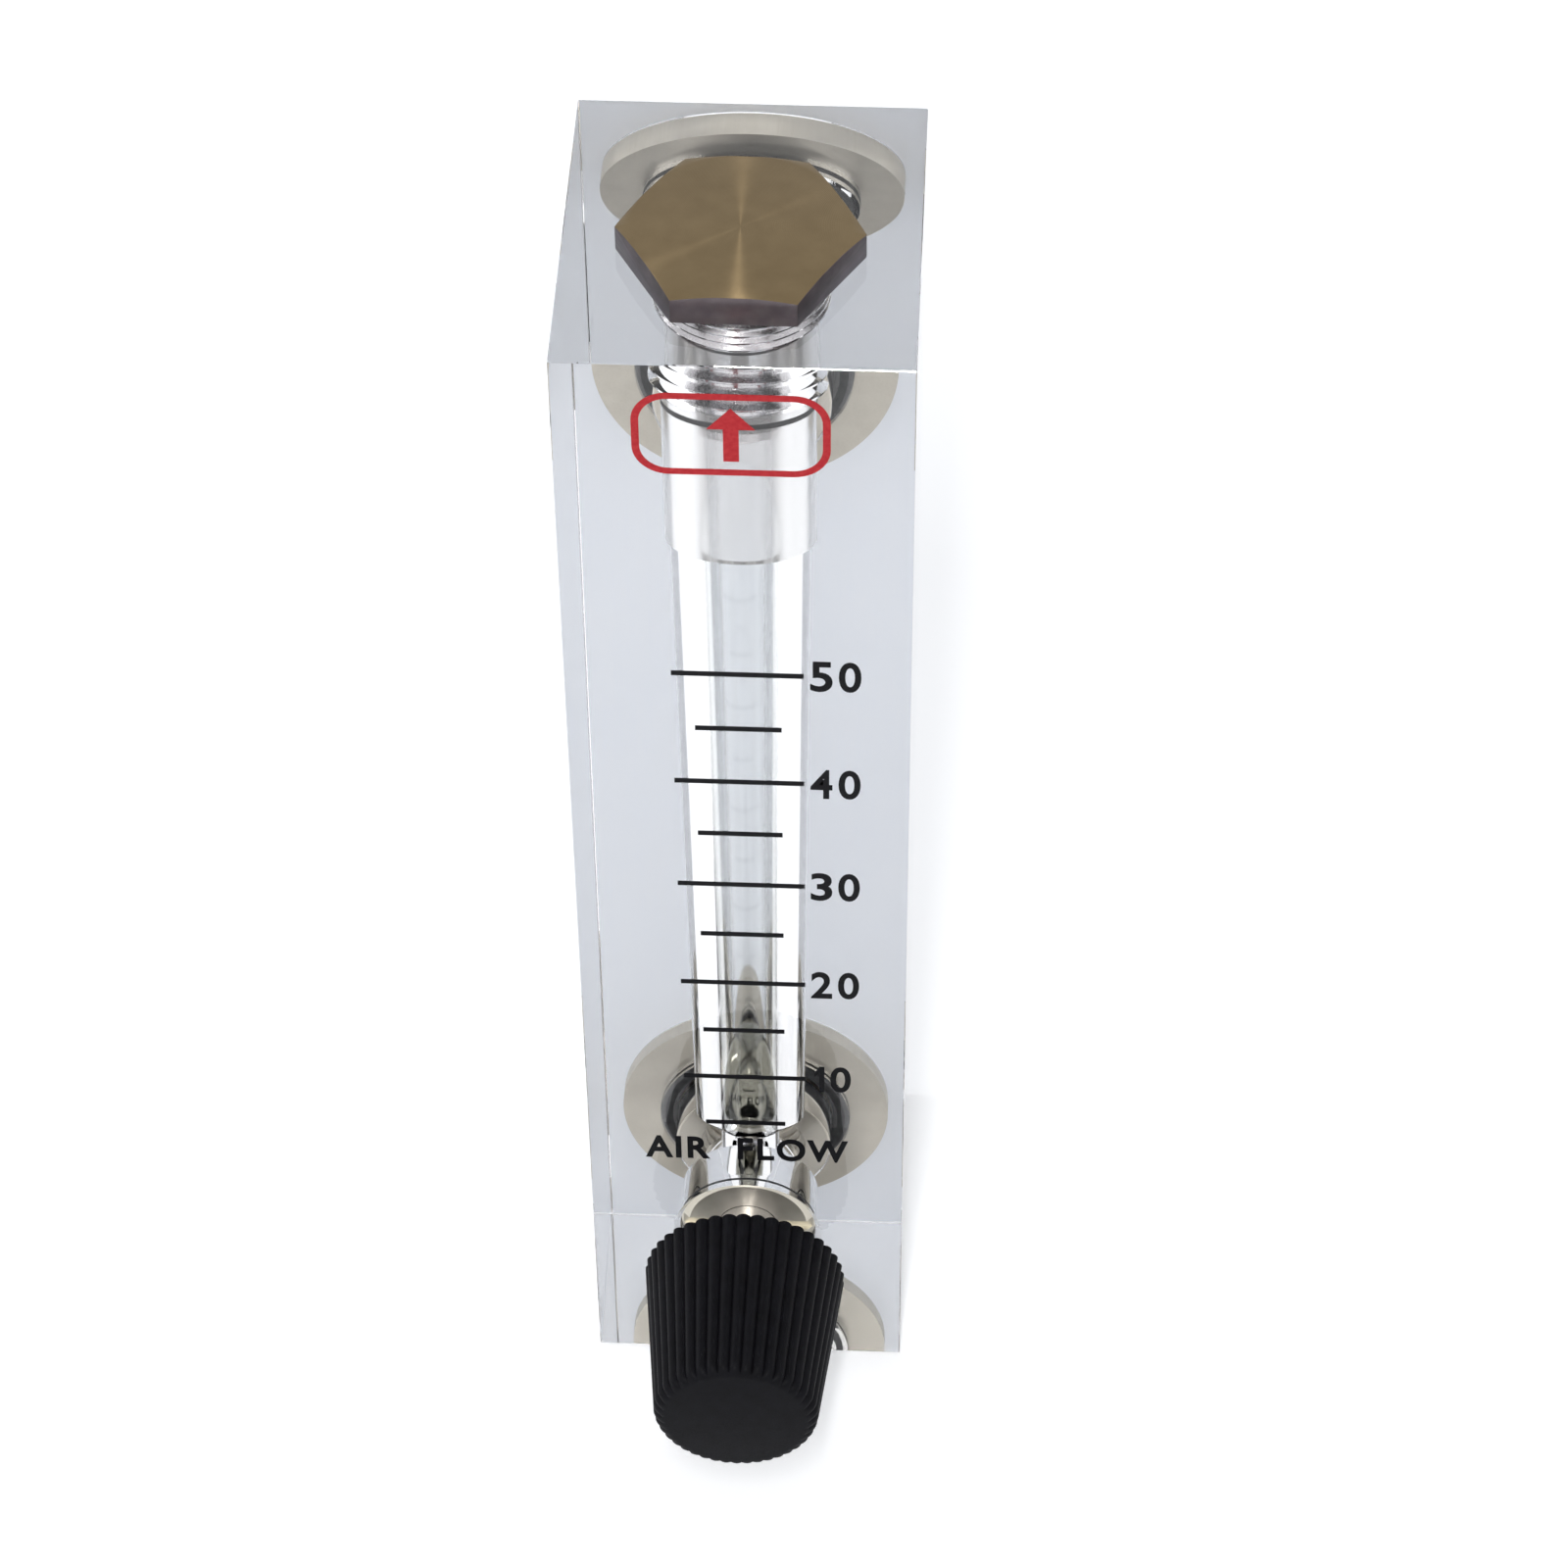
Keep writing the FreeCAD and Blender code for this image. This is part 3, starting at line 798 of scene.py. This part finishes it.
moulded_black, shader = finish_named("moulded black plastic", Roughness=0.5,
                                     Base_Color=(0.005, 0.005, 0.0065, 1.0),
                                     Specular_IOR_Level=0.07)
masks = handled(moulded_black, 800.0, 9000.0, even)
varied(moulded_black, shader, masks, (0.004, 0.004, 0.005), (0.006, 0.006, 0.008), 0.42, 0.6)
bumped(moulded_black, shader, masks[1], 0.15, 0.00002)


def ridged_tree():
    """Sinks narrow grooves between rounded ridges into the side of a turned blank."""
    tree, given = node_group("ridged side", "GeometryNodeTree",
                             (("Blank", "Geometry", None), ("Ridges", "Float", 40.0),
                              ("Depth", "Float", 0.0003), ("Axis Height", "Float", 0.0),
                              ("Inner Radius", "Float", 0.005), ("Outer Radius", "Float", 0.006),
                              ("Material", "Material", None)), (("Geometry", "Geometry"),))
    place = tree.nodes.new("ShaderNodeSeparateXYZ")
    tree.links.new(tree.nodes.new("GeometryNodeInputPosition").outputs[0], place.inputs[0])
    up = maths(tree, "SUBTRACT", place.outputs["Z"], given["Axis Height"])
    angle = maths(tree, "ARCTAN2", up, place.outputs["X"])
    half_count = maths(tree, "MULTIPLY", given["Ridges"], 0.5)
    wave = maths(tree, "SINE", maths(tree, "MULTIPLY", angle, half_count))
    ridge_shape = maths(tree, "POWER", maths(tree, "ABSOLUTE", wave), ridge_roundness)
    across = place.outputs["X"]
    radius = maths(tree, "SQRT", maths(tree, "ADD", maths(tree, "MULTIPLY", up, up),
                                       maths(tree, "MULTIPLY", across, across)))
    fade = tree.nodes.new("ShaderNodeMapRange")
    fade.interpolation_type = "SMOOTHSTEP"
    tree.links.new(radius, fade.inputs["Value"])
    tree.links.new(given["Inner Radius"], fade.inputs["From Min"])
    tree.links.new(given["Outer Radius"], fade.inputs["From Max"])
    sink = maths(tree, "MULTIPLY", maths(tree, "SUBTRACT", ridge_shape, 1.0), given["Depth"])
    sink = maths(tree, "DIVIDE", maths(tree, "MULTIPLY", sink, fade.outputs["Result"]), radius)
    offset = tree.nodes.new("ShaderNodeCombineXYZ")
    tree.links.new(maths(tree, "MULTIPLY", place.outputs["X"], sink), offset.inputs["X"])
    tree.links.new(maths(tree, "MULTIPLY", up, sink), offset.inputs["Z"])
    move = tree.nodes.new("GeometryNodeSetPosition")
    tree.links.new(given["Blank"], move.inputs["Geometry"])
    tree.links.new(offset.outputs[0], move.inputs["Offset"])
    end_tree(tree, move.outputs[0], given["Material"])
    return tree


rim_y = knob_low.y + knob_crown
side_rows = 8
rim_rows = 8
crown_rows = 4
outline = [(knob_back_radius, knob_high.y)]
slope = math.atan2(knob_back_radius - knob_front_radius, knob_high.y - rim_y)
rim_centre_y = rim_y + knob_rounding
rim_centre_radius = knob_front_radius - knob_rounding
for row in range(1, side_rows):
    share = row / side_rows
    outline.append((knob_back_radius + (knob_front_radius - knob_back_radius) * share,
                    knob_high.y + (rim_centre_y - knob_high.y) * share))
for row in range(rim_rows + 1):
    angle = slope + (math.pi / 2 - slope) * row / rim_rows
    outline.append((rim_centre_radius + knob_rounding * math.cos(angle),
                    rim_centre_y - knob_rounding * math.sin(angle)))
for row in range(1, crown_rows + 1):
    share = 1 - row / crown_rows
    outline.append((rim_centre_radius * share, rim_y - knob_crown * (1 - share ** 2)))
blank_back = [(0, knob_high.y - socket_depth),
              (stem_radius + pocket_gap, knob_high.y - socket_depth),
              (stem_radius + pocket_gap, knob_high.y), (boss_radius, knob_high.y),
              (boss_radius, knob_high.y - hollow_depth),
              (knob_back_radius - knob_wall - hollow_draft, knob_high.y - hollow_depth),
              (knob_back_radius - knob_wall, knob_high.y)]
knob_blank = turned("knob_blank", blank_back + outline, (0, 0, inlet_height), to_back,
                    ridge_count * steps_per_ridge)
blank_mesh = knob_blank.data
bpy.data.objects.remove(knob_blank)
knob = grown(ridged_tree(), "ridged_knob", {"Ridges": float(ridge_count), "Depth": ridge_depth,
                                            "Axis Height": inlet_height,
                                            "Inner Radius": rim_centre_radius,
                                            "Outer Radius": knob_front_radius,
                                            "Material": moulded_black}, blank_mesh)
shade(knob, 50)
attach(knob, "valve_control")
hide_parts("control_knob")


# ---- Printed scale ----------------------------------------------------------------------------
# Screen-printed ink on the front face: ten lines, long and short by turns, the figures beside the
# long ones, a line of lettering below, and a plain red mark above.

line_step = 0.00569
first_line = 0.0300
line_count = 10
long_half = 0.00485
short_half = 0.0032
line_width = 0.00048
ink_thickness = 0.00003
ink_sunk = 0.00001
figure_height = 0.0031
figure_left = 0.0053
figure_width = 0.00165
figure_gap = 0.00045
figure_stroke = 0.00042
figure_weight = 0.02
one_inset = 0.00025
one_width = 0.0008
one_flag_foot = 3.0 * figure_stroke
one_flag_tip = 2.0 * figure_stroke
one_flag_root = 1.8 * figure_stroke
legend_left = -0.00815
legend_right = 0.00825
legend_middle = 0.02665
legend_height = 0.0028
legend_spacing = 1.15
legend_weight = 0.03


def ink(name, base, dark, light):
    """Screen ink: matt, a little uneven in tone."""
    material, shader = finish_named(name, Base_Color=base + (1.0,), Roughness=0.6,
                                    Specular_IOR_Level=0.1)
    varied(material, shader, handled(material, 2500.0, 9000.0, even), dark, light, 0.35, 0.6)
    return material


black_ink = ink("black ink", (0.005, 0.005, 0.007), (0.004, 0.004, 0.005), (0.008, 0.008, 0.010))
red_ink = ink("red ink", (0.46, 0.024, 0.035), (0.42, 0.022, 0.03), (0.52, 0.04, 0.045))


def scale_tree():
    """A ladder of printed lines, the second and every other one longer."""
    tree, given = node_group("scale lines", "GeometryNodeTree",
                             (("Count", "Int", 10), ("Step", "Vector", (0, 0, 0.005)),
                              ("First", "Vector", (0, 0, 0)),
                              ("Short Line", "Vector", (0.006, 0.0001, 0.0005)),
                              ("Long Share", "Float", 1.5), ("Material", "Material", None)),
                             (("Geometry", "Geometry"),))
    ladder = tree.nodes.new("GeometryNodeMeshLine")
    ladder.mode = "OFFSET"
    tree.links.new(given["Count"], ladder.inputs["Count"])
    tree.links.new(given["First"], ladder.inputs["Start Location"])
    tree.links.new(given["Step"], ladder.inputs["Offset"])
    line = tree.nodes.new("GeometryNodeMeshCube")
    tree.links.new(given["Short Line"], line.inputs["Size"])
    odd = maths(tree, "MODULO", tree.nodes.new("GeometryNodeInputIndex").outputs[0], 2.0)
    longer = maths(tree, "SUBTRACT", given["Long Share"], 1.0)
    length = maths(tree, "ADD", maths(tree, "MULTIPLY", odd, longer), 1.0)
    stretch = tree.nodes.new("ShaderNodeCombineXYZ")
    stretch.inputs["Y"].default_value = 1.0
    stretch.inputs["Z"].default_value = 1.0
    tree.links.new(length, stretch.inputs["X"])
    copies = tree.nodes.new("GeometryNodeInstanceOnPoints")
    tree.links.new(ladder.outputs["Mesh"], copies.inputs["Points"])
    tree.links.new(line.outputs["Mesh"], copies.inputs["Instance"])
    tree.links.new(stretch.outputs[0], copies.inputs["Scale"])
    end_tree(tree, copies.outputs[0], given["Material"])
    return tree


ink_depth = ink_thickness + ink_sunk
print_y = block_low.y + ink_sunk - ink_depth / 2
lines = grown(scale_tree(), "printed_lines",
              {"Count": line_count, "Step": (0, 0, line_step), "First": (0, print_y, first_line),
               "Short Line": (2 * short_half, ink_depth, line_width),
               "Long Share": long_half / short_half, "Material": black_ink})
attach(lines, "meter_body")
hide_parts("scale_lines")


def printed_text(name, text, left, right, middle, height, spacing, weight):
    """Black lettering on the front face, fitted between left and right about its middle height."""
    words = bpy.data.curves.new(name, "FONT")
    words.body = text
    words.space_character = spacing
    words.offset = weight
    words.extrude = 0.5
    words.resolution_u = 6
    holder = add_object(name, words)
    mesh = plain_mesh(holder)
    bpy.data.objects.remove(holder)
    low = Vector([min(v.co[i] for v in mesh.vertices) for i in range(3)])
    high = Vector([max(v.co[i] for v in mesh.vertices) for i in range(3)])
    for v in mesh.vertices:
        share = Vector([(v.co[i] - low[i]) / (high[i] - low[i]) for i in range(3)])
        v.co = Vector((left + (right - left) * share.x, print_y + (0.5 - share.z) * ink_depth,
                       middle + (share.y - 0.5) * height))
    mend_mesh(mesh)
    piece = add_object(name, mesh)
    dress(piece, black_ink)
    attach(piece, "meter_body")
    return piece


def printed_shape(bm, outline, hole=()):
    """A thin ink shape from an outline in (x, z); a hole has as many points as the outline."""
    depth = Vector((0, ink_depth, 0))
    front_y = block_low.y - ink_thickness
    rows = [[bm.verts.new((x, front_y, z)) for x, z in ring] for ring in (outline, hole) if ring]
    backs = [[bm.verts.new(v.co + depth) for v in row] for row in rows]
    count = len(outline)
    for i in range(count):
        after = (i + 1) % count
        for row, back in zip(rows, backs):
            bm.faces.new((row[i], row[after], back[after], back[i]))
        if hole:
            bm.faces.new((rows[0][i], rows[0][after], rows[1][after], rows[1][i]))
            bm.faces.new((backs[0][i], backs[0][after], backs[1][after], backs[1][i]))
    if not hole:
        bm.faces.new(rows[0])
        bm.faces.new(backs[0])


def printed_piece(name, ink, *shapes):
    """One printed piece from its thin shapes, each an outline with its hole, if any."""
    bm = bmesh.new()
    for shape in shapes:
        printed_shape(bm, *shape)
    bmesh.ops.recalc_face_normals(bm, faces=bm.faces)
    piece = built(name, bm)
    dress(piece, ink)
    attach(piece, "meter_body")
    return piece


for number in range(1, line_count // 2 + 1):
    height = first_line + (2 * number - 1) * line_step
    low = height - figure_height / 2
    high = height + figure_height / 2
    left = figure_left
    for digit in str(number * 10):
        if digit == "1":
            left = left + one_inset
            right = left + one_width
            stem = right - figure_stroke
            one = [(stem, low), (right, low), (right, high), (stem, high),
                   (left, high - one_flag_tip), (left, high - one_flag_foot),
                   (stem, high - one_flag_root)]
            figure = printed_piece("figure_one", black_ink, (one,))
        else:
            right = left + figure_width
            figure = printed_text("figure_" + str(number) + "_" + digit, digit, left, right, height,
                                  figure_height, 1.0, figure_weight)
        left = right + figure_gap
legend = printed_text("legend", "AIR  FLOW", legend_left, legend_right, legend_middle,
                      legend_height, legend_spacing, legend_weight)

mark_left = -0.0071
mark_right = 0.0068
mark_low = 0.1010
mark_high = 0.1086
mark_corner = 0.0026
mark_stroke = 0.00055
mark_corner_steps = 12
arrow_half = 0.0017
arrow_stem_half = 0.00055
arrow_margin = 2.4 * mark_stroke
arrow_head_length = 1.15 * arrow_half


def rounded_frame(inset):
    """The mark's outline as a rounded rectangle, moved in by an inset, in (x, z)."""
    corner = mark_corner - inset
    points = []
    for turn, (x, z) in enumerate(((mark_right, mark_high), (mark_left, mark_high),
                                   (mark_left, mark_low), (mark_right, mark_low))):
        cx = x - math.copysign(mark_corner, x)
        cz = z - math.copysign(mark_corner, z - (mark_low + mark_high) / 2)
        for i in range(mark_corner_steps + 1):
            angle = math.radians(90 * turn + 90 * i / mark_corner_steps)
            points.append((cx + corner * math.cos(angle), cz + corner * math.sin(angle)))
    return points


middle_x = (mark_left + mark_right) / 2
arrow_foot = mark_low + arrow_margin
arrow_tip = mark_high - arrow_margin
arrow_neck = arrow_tip - arrow_head_length
arrow = [(middle_x + x, z) for x, z in
         ((-arrow_stem_half, arrow_foot), (arrow_stem_half, arrow_foot),
          (arrow_stem_half, arrow_neck), (arrow_half, arrow_neck), (0, arrow_tip),
          (-arrow_half, arrow_neck), (-arrow_stem_half, arrow_neck))]
mark = printed_piece("flow_mark", red_ink, (rounded_frame(0.0), rounded_frame(mark_stroke)),
                     (arrow,))


# ---- Stage ------------------------------------------------------------------------------------
# A plain pale floor and a white world under two soft lamps, seen from above the meter's front.
# Both are shown brighter than they light the meter, also in its metal and through its block.

floor_half = 0.6
floor_gap = 0.00005
floor_glow = 0.34
world_light = 0.62
world_shown = 0.44


def when_shown(tree, strength):
    """A strength for rays that show a thing: from the camera, by reflection or through glass."""
    path = tree.nodes.new("ShaderNodeLightPath").outputs
    shown = maths(tree, "ADD", path["Is Camera Ray"],
                  maths(tree, "ADD", path["Is Glossy Ray"], path["Is Transmission Ray"]))
    return maths(tree, "MULTIPLY", maths(tree, "MINIMUM", shown, 1.0), strength)


bm = bmesh.new()
bmesh.ops.create_grid(bm, x_segments=1, y_segments=1, size=floor_half)
bmesh.ops.translate(bm, vec=(0, 0, cad_low.z - floor_gap), verts=bm.verts)
floor = built("pale_floor", bm)
pale, shader = finish_named("pale floor", Base_Color=(0.82, 0.83, 0.85, 1.0), Roughness=0.9,
                            Emission_Color=(1.0, 1.0, 1.0, 1.0))
pale.node_tree.links.new(when_shown(pale.node_tree, floor_glow), shader.inputs["Emission Strength"])
dress(floor, pale)

world = bpy.data.worlds.new("studio")
bpy.context.scene.world = world
world.use_nodes = True
background = world.node_tree.nodes["Background"]
background.inputs["Color"].default_value = (0.97, 0.98, 1.0, 1.0)
level = maths(world.node_tree, "ADD", world_light, when_shown(world.node_tree, world_shown))
world.node_tree.links.new(level, background.inputs["Strength"])


def lamp(name, place, target, width, height, power, colour):
    """A soft rectangular lamp aimed at a point."""
    light = bpy.data.lights.new(name, "AREA")
    light.shape = "RECTANGLE"
    light.size = width
    light.size_y = height
    light.energy = power
    light.color = colour
    holder = add_object(name, light)
    holder.location = place
    holder.rotation_euler = (Vector(target) - Vector(place)).to_track_quat("-Z", "Y").to_euler()


lamp_target = (0, 0, 0.06)
lamp("key", (-0.02, -0.55, 0.75), lamp_target, 0.05, 0.30, 3.2, (1.0, 0.99, 0.97))
lamp("side", (-0.75, 0.05, 0.35), lamp_target, 0.12, 0.4, 1.4, (0.97, 0.98, 1.0))

camera_data = bpy.data.cameras.new("camera")
camera_data.lens = 112.8
camera_data.sensor_width = 36.0
camera_data.clip_start = 0.01
camera = add_object("camera", camera_data)
camera_place = Vector((0.01664, -0.263383, 0.335668))
pitch = math.radians(46.57)
yaw = math.radians(-3.03)
roll = math.radians(-0.51)
look = Vector((math.sin(yaw) * math.cos(pitch), math.cos(yaw) * math.cos(pitch), -math.sin(pitch)))
level_right = Vector((math.cos(yaw), -math.sin(yaw), 0))
level_up = level_right.cross(look)
right = level_right * math.cos(roll) + level_up * math.sin(roll)
up = -level_right * math.sin(roll) + level_up * math.cos(roll)
placed = Matrix((right, up, -look)).transposed().to_4x4()
placed.translation = camera_place
camera.matrix_world = placed
bpy.context.scene.camera = camera
bpy.context.scene.view_settings.view_transform = "Standard"
